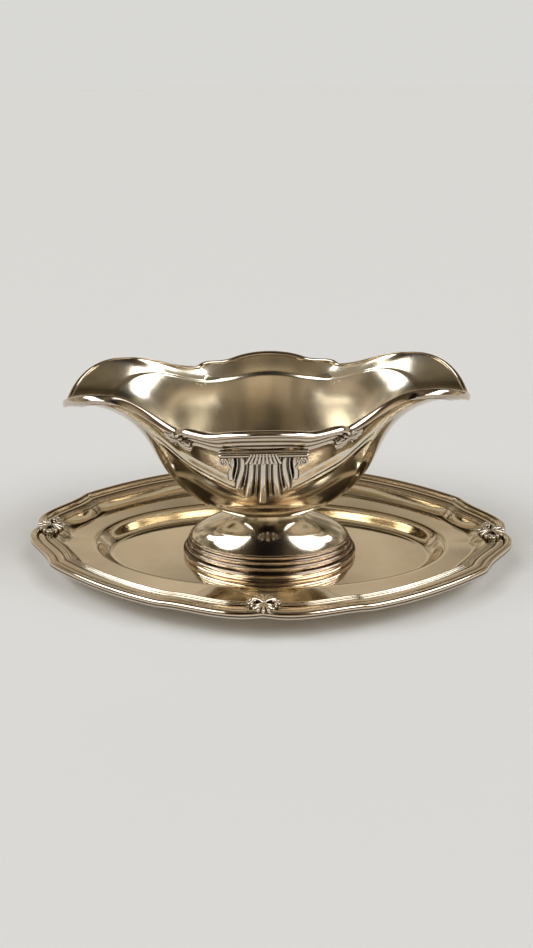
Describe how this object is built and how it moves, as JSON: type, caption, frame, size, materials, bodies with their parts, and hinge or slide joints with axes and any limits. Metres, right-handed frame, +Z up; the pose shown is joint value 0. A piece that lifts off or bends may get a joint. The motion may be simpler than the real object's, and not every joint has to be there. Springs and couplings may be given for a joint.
{
  "type": "gravy boat",
  "caption": "Oval gravy boat with a broad pouring lip at each end and ear handles, on a pedestal foot in the sunken well of a shaped, reeded tray.",
  "frame": {"origin": "middle of the tray's underside, on the surface it stands on", "axes": "+Z up; +X along the tray's length towards its right end; +Y towards the back side"},
  "size_m": [0.2524, 0.1506, 0.1056],
  "materials": {
    "tray_sheet": "polished silver plate with fine wear scratches, warm tint",
    "moulding": "polished reeded moulding, tarnish in the grooves",
    "bowl_silver": "polished outside, satin and finely scratched inside",
    "cast_silver": "polished cast ornament, dark tarnish in the flutes",
    "foot_silver": "polished silver plate",
    "worn_silver": "silver plate worn thin, with a pinkish copper blush"
  },
  "bodies": {
    "tray": {"tray_dish": "tray_sheet", "tray_border": "moulding", "tray_shell_front": "cast_silver", "tray_shell_back": "cast_silver", "tray_shell_left": "cast_silver", "tray_shell_right": "cast_silver"},
    "boat": {"bowl": "bowl_silver", "bowl_border": "moulding", "bowl_shell_front_left": "cast_silver", "bowl_shell_front_right": "cast_silver", "bowl_shell_back_left": "cast_silver", "bowl_shell_back_right": "cast_silver", "handle_front": "cast_silver", "handle_back": "cast_silver", "collar": "moulding", "foot": "foot_silver", "foot_ring": "worn_silver"}
  },
  "joints": [
    {"name": "boat_lift", "type": "slide", "parent": "tray", "child": "boat", "axis": [0, 0, 1], "range_m": [0, 0.12]}
  ]
}
